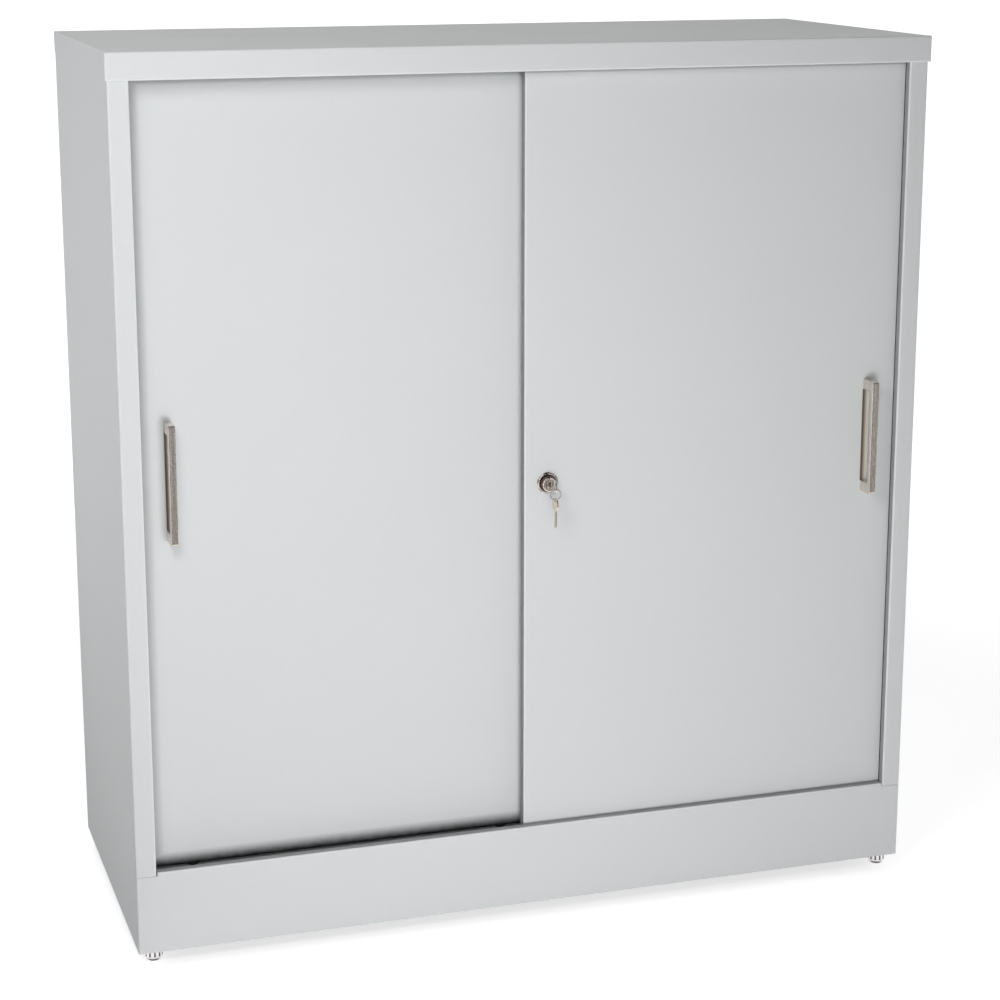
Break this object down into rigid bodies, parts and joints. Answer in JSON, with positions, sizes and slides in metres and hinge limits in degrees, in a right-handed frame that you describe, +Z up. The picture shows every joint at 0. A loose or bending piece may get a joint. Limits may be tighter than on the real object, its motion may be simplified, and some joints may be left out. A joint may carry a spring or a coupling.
{
  "type": "sliding door cabinet",
  "caption": "Low steel storage cabinet with a pair of overlapping sliding doors, bow handles, a push lock with keys, shelves inside, a plinth and levelling feet.",
  "frame": {"origin": "on the floor, under the middle of the whole cabinet", "axes": "+Z up, -Y out of the doors, +X to the right of someone facing the doors"},
  "size_m": [0.954, 0.4246, 1.025],
  "materials": {
    "body_paint": "light grey semi-gloss powder coat",
    "door_paint": "light grey semi-gloss powder coat",
    "inner_paint": "light grey powder coat, thinner inside",
    "track_paint": "grey powder coat, rubbed by the rollers",
    "handle_nickel": "warm satin nickel plate",
    "zinc_steel": "bright zinc plate",
    "lock_chrome": "polished chrome",
    "plug_nickel": "polished nickel",
    "key_nickel": "nickel plate",
    "key_brass": "worn, nickel-washed brass",
    "ring_steel": "plated spring wire",
    "foot_chrome": "polished chrome",
    "sole_plastic": "black plastic",
    "nylon": "black nylon",
    "bumper_rubber": "black rubber"
  },
  "bodies": {
    "root": {"left_side_panel": "body_paint", "right_side_panel": "body_paint", "back_panel": "body_paint", "back_panel_screws": "zinc_steel", "top_panel": "body_paint", "top_stiffener": "inner_paint", "floor_panel": "inner_paint", "floor_stiffener": "inner_paint", "plinth_front": "body_paint", "rear_base_rail": "inner_paint", "lower_track": "track_paint", "upper_track": "track_paint", "door_bumpers": "bumper_rubber", "foot_brackets": "inner_paint", "foot_nuts": "zinc_steel", "left_front_upright": "inner_paint", "left_rear_upright": "inner_paint", "right_front_upright": "inner_paint", "right_rear_upright": "inner_paint", "lower_shelf_clips": "zinc_steel", "upper_shelf_clips": "zinc_steel"},
    "left_door": {"left_door_panel": "door_paint", "left_door_stiffener": "inner_paint", "left_handle": "handle_nickel", "left_handle_screws": "zinc_steel", "left_door_guides": "nylon", "left_roller_brackets": "zinc_steel", "left_roller_axles": "zinc_steel", "lock_keep": "zinc_steel", "lock_keep_rivets": "zinc_steel"},
    "right_door": {"right_door_panel": "door_paint", "right_door_stiffener": "inner_paint", "right_handle": "handle_nickel", "right_handle_screws": "zinc_steel", "right_door_guides": "nylon", "right_roller_brackets": "zinc_steel", "right_roller_axles": "zinc_steel", "lock_housing": "lock_chrome", "lock_nut": "zinc_steel"},
    "left_door_left_roller": {"left_door_left_roller": "nylon"},
    "left_door_right_roller": {"left_door_right_roller": "nylon"},
    "right_door_left_roller": {"right_door_left_roller": "nylon"},
    "right_door_right_roller": {"right_door_right_roller": "nylon"},
    "lock_plunger": {"lock_plunger": "lock_chrome"},
    "lock_plug": {"lock_plug": "plug_nickel"},
    "key": {"key": "key_nickel"},
    "key_ring": {"key_ring": "ring_steel"},
    "spare_key": {"spare_key": "key_brass"},
    "lower_shelf": {"lower_shelf": "inner_paint"},
    "upper_shelf": {"upper_shelf": "inner_paint"},
    "front_left_sole": {"front_left_sole": "sole_plastic"},
    "front_left_foot": {"front_left_foot": "foot_chrome"},
    "front_right_sole": {"front_right_sole": "sole_plastic"},
    "front_right_foot": {"front_right_foot": "foot_chrome"},
    "rear_left_sole": {"rear_left_sole": "sole_plastic"},
    "rear_left_foot": {"rear_left_foot": "foot_chrome"},
    "rear_right_sole": {"rear_right_sole": "sole_plastic"},
    "rear_right_foot": {"rear_right_foot": "foot_chrome"}
  },
  "joints": [
    {"name": "left_door_slide", "type": "slide", "parent": "root", "child": "left_door", "axis": [1, 0, 0], "range_m": [0, 0.396]},
    {"name": "right_door_slide", "type": "slide", "parent": "root", "child": "right_door", "axis": [1, 0, 0], "range_m": [-0.396, 0]},
    {"name": "left_door_left_roller_spin", "type": "hinge", "parent": "left_door", "child": "left_door_left_roller", "pos_m": [-0.4025, -0.14585, 0.11], "axis": [0, 1, 0], "range_deg": [0, 2268.92]},
    {"name": "left_door_right_roller_spin", "type": "hinge", "parent": "left_door", "child": "left_door_right_roller", "pos_m": [-0.032, -0.14585, 0.11], "axis": [0, 1, 0], "range_deg": [0, 2268.92]},
    {"name": "right_door_left_roller_spin", "type": "hinge", "parent": "right_door", "child": "right_door_left_roller", "pos_m": [0.05, -0.16885, 0.11], "axis": [0, 1, 0], "range_deg": [-2268.92, 0]},
    {"name": "right_door_right_roller_spin", "type": "hinge", "parent": "right_door", "child": "right_door_right_roller", "pos_m": [0.4025, -0.16885, 0.11], "axis": [0, 1, 0], "range_deg": [-2268.92, 0]},
    {"name": "lock_plunger_press", "type": "slide", "parent": "right_door", "child": "lock_plunger", "axis": [0, 1, 0], "range_m": [0, 0.007], "stiffness_N_per_m": 300, "springref_m": -0.004},
    {"name": "lock_plug_turn", "type": "hinge", "parent": "lock_plunger", "child": "lock_plug", "pos_m": [0.016, -0.18595, 0.525], "axis": [0, 1, 0], "range_deg": [0, 90]},
    {"name": "key_withdraw", "type": "slide", "parent": "lock_plug", "child": "key", "axis": [0, -1, 0], "range_m": [0, 0.015]},
    {"name": "key_ring_swing", "type": "hinge", "parent": "key", "child": "key_ring", "pos_m": [0.016, -0.20435, 0.525], "axis": [-1, 0, 0], "range_deg": [-8, 60]},
    {"name": "spare_key_swing", "type": "hinge", "parent": "key_ring", "child": "spare_key", "pos_m": [0.016, -0.20435, 0.5104], "axis": [-1, 0, 0], "range_deg": [-8, 60]},
    {"name": "lower_shelf_lift", "type": "slide", "parent": "root", "child": "lower_shelf", "axis": [0, 0, 1], "range_m": [0, 0.05]},
    {"name": "upper_shelf_lift", "type": "slide", "parent": "root", "child": "upper_shelf", "axis": [0, 0, 1], "range_m": [0, 0.05]},
    {"name": "front_left_sole_drop", "type": "slide", "parent": "root", "child": "front_left_sole", "axis": [0, 0, -1], "range_m": [0, 0.0125]},
    {"name": "front_left_foot_turn", "type": "hinge", "parent": "front_left_sole", "child": "front_left_foot", "pos_m": [-0.456, -0.17185, 0], "axis": [0, 0, -1], "range_deg": [0, 3600.01]},
    {"name": "front_right_sole_drop", "type": "slide", "parent": "root", "child": "front_right_sole", "axis": [0, 0, -1], "range_m": [0, 0.0125]},
    {"name": "front_right_foot_turn", "type": "hinge", "parent": "front_right_sole", "child": "front_right_foot", "pos_m": [0.456, -0.17185, 0], "axis": [0, 0, -1], "range_deg": [0, 3600.01]},
    {"name": "rear_left_sole_drop", "type": "slide", "parent": "root", "child": "rear_left_sole", "axis": [0, 0, -1], "range_m": [0, 0.0125]},
    {"name": "rear_left_foot_turn", "type": "hinge", "parent": "rear_left_sole", "child": "rear_left_foot", "pos_m": [-0.456, 0.18615, 0], "axis": [0, 0, -1], "range_deg": [0, 3600.01]},
    {"name": "rear_right_sole_drop", "type": "slide", "parent": "root", "child": "rear_right_sole", "axis": [0, 0, -1], "range_m": [0, 0.0125]},
    {"name": "rear_right_foot_turn", "type": "hinge", "parent": "rear_right_sole", "child": "rear_right_foot", "pos_m": [0.456, 0.18615, 0], "axis": [0, 0, -1], "range_deg": [0, 3600.01]}
  ],
  "couplings": [
    {"joint": "left_door_left_roller_spin", "follows": "left_door_slide", "rad_per_m": 100},
    {"joint": "left_door_right_roller_spin", "follows": "left_door_slide", "rad_per_m": 100},
    {"joint": "right_door_left_roller_spin", "follows": "right_door_slide", "rad_per_m": 100},
    {"joint": "right_door_right_roller_spin", "follows": "right_door_slide", "rad_per_m": 100},
    {"joint": "front_left_foot_turn", "follows": "front_left_sole_drop", "rad_per_m": 5026.5},
    {"joint": "front_right_foot_turn", "follows": "front_right_sole_drop", "rad_per_m": 5026.5},
    {"joint": "rear_left_foot_turn", "follows": "rear_left_sole_drop", "rad_per_m": 5026.5},
    {"joint": "rear_right_foot_turn", "follows": "rear_right_sole_drop", "rad_per_m": 5026.5}
  ]
}
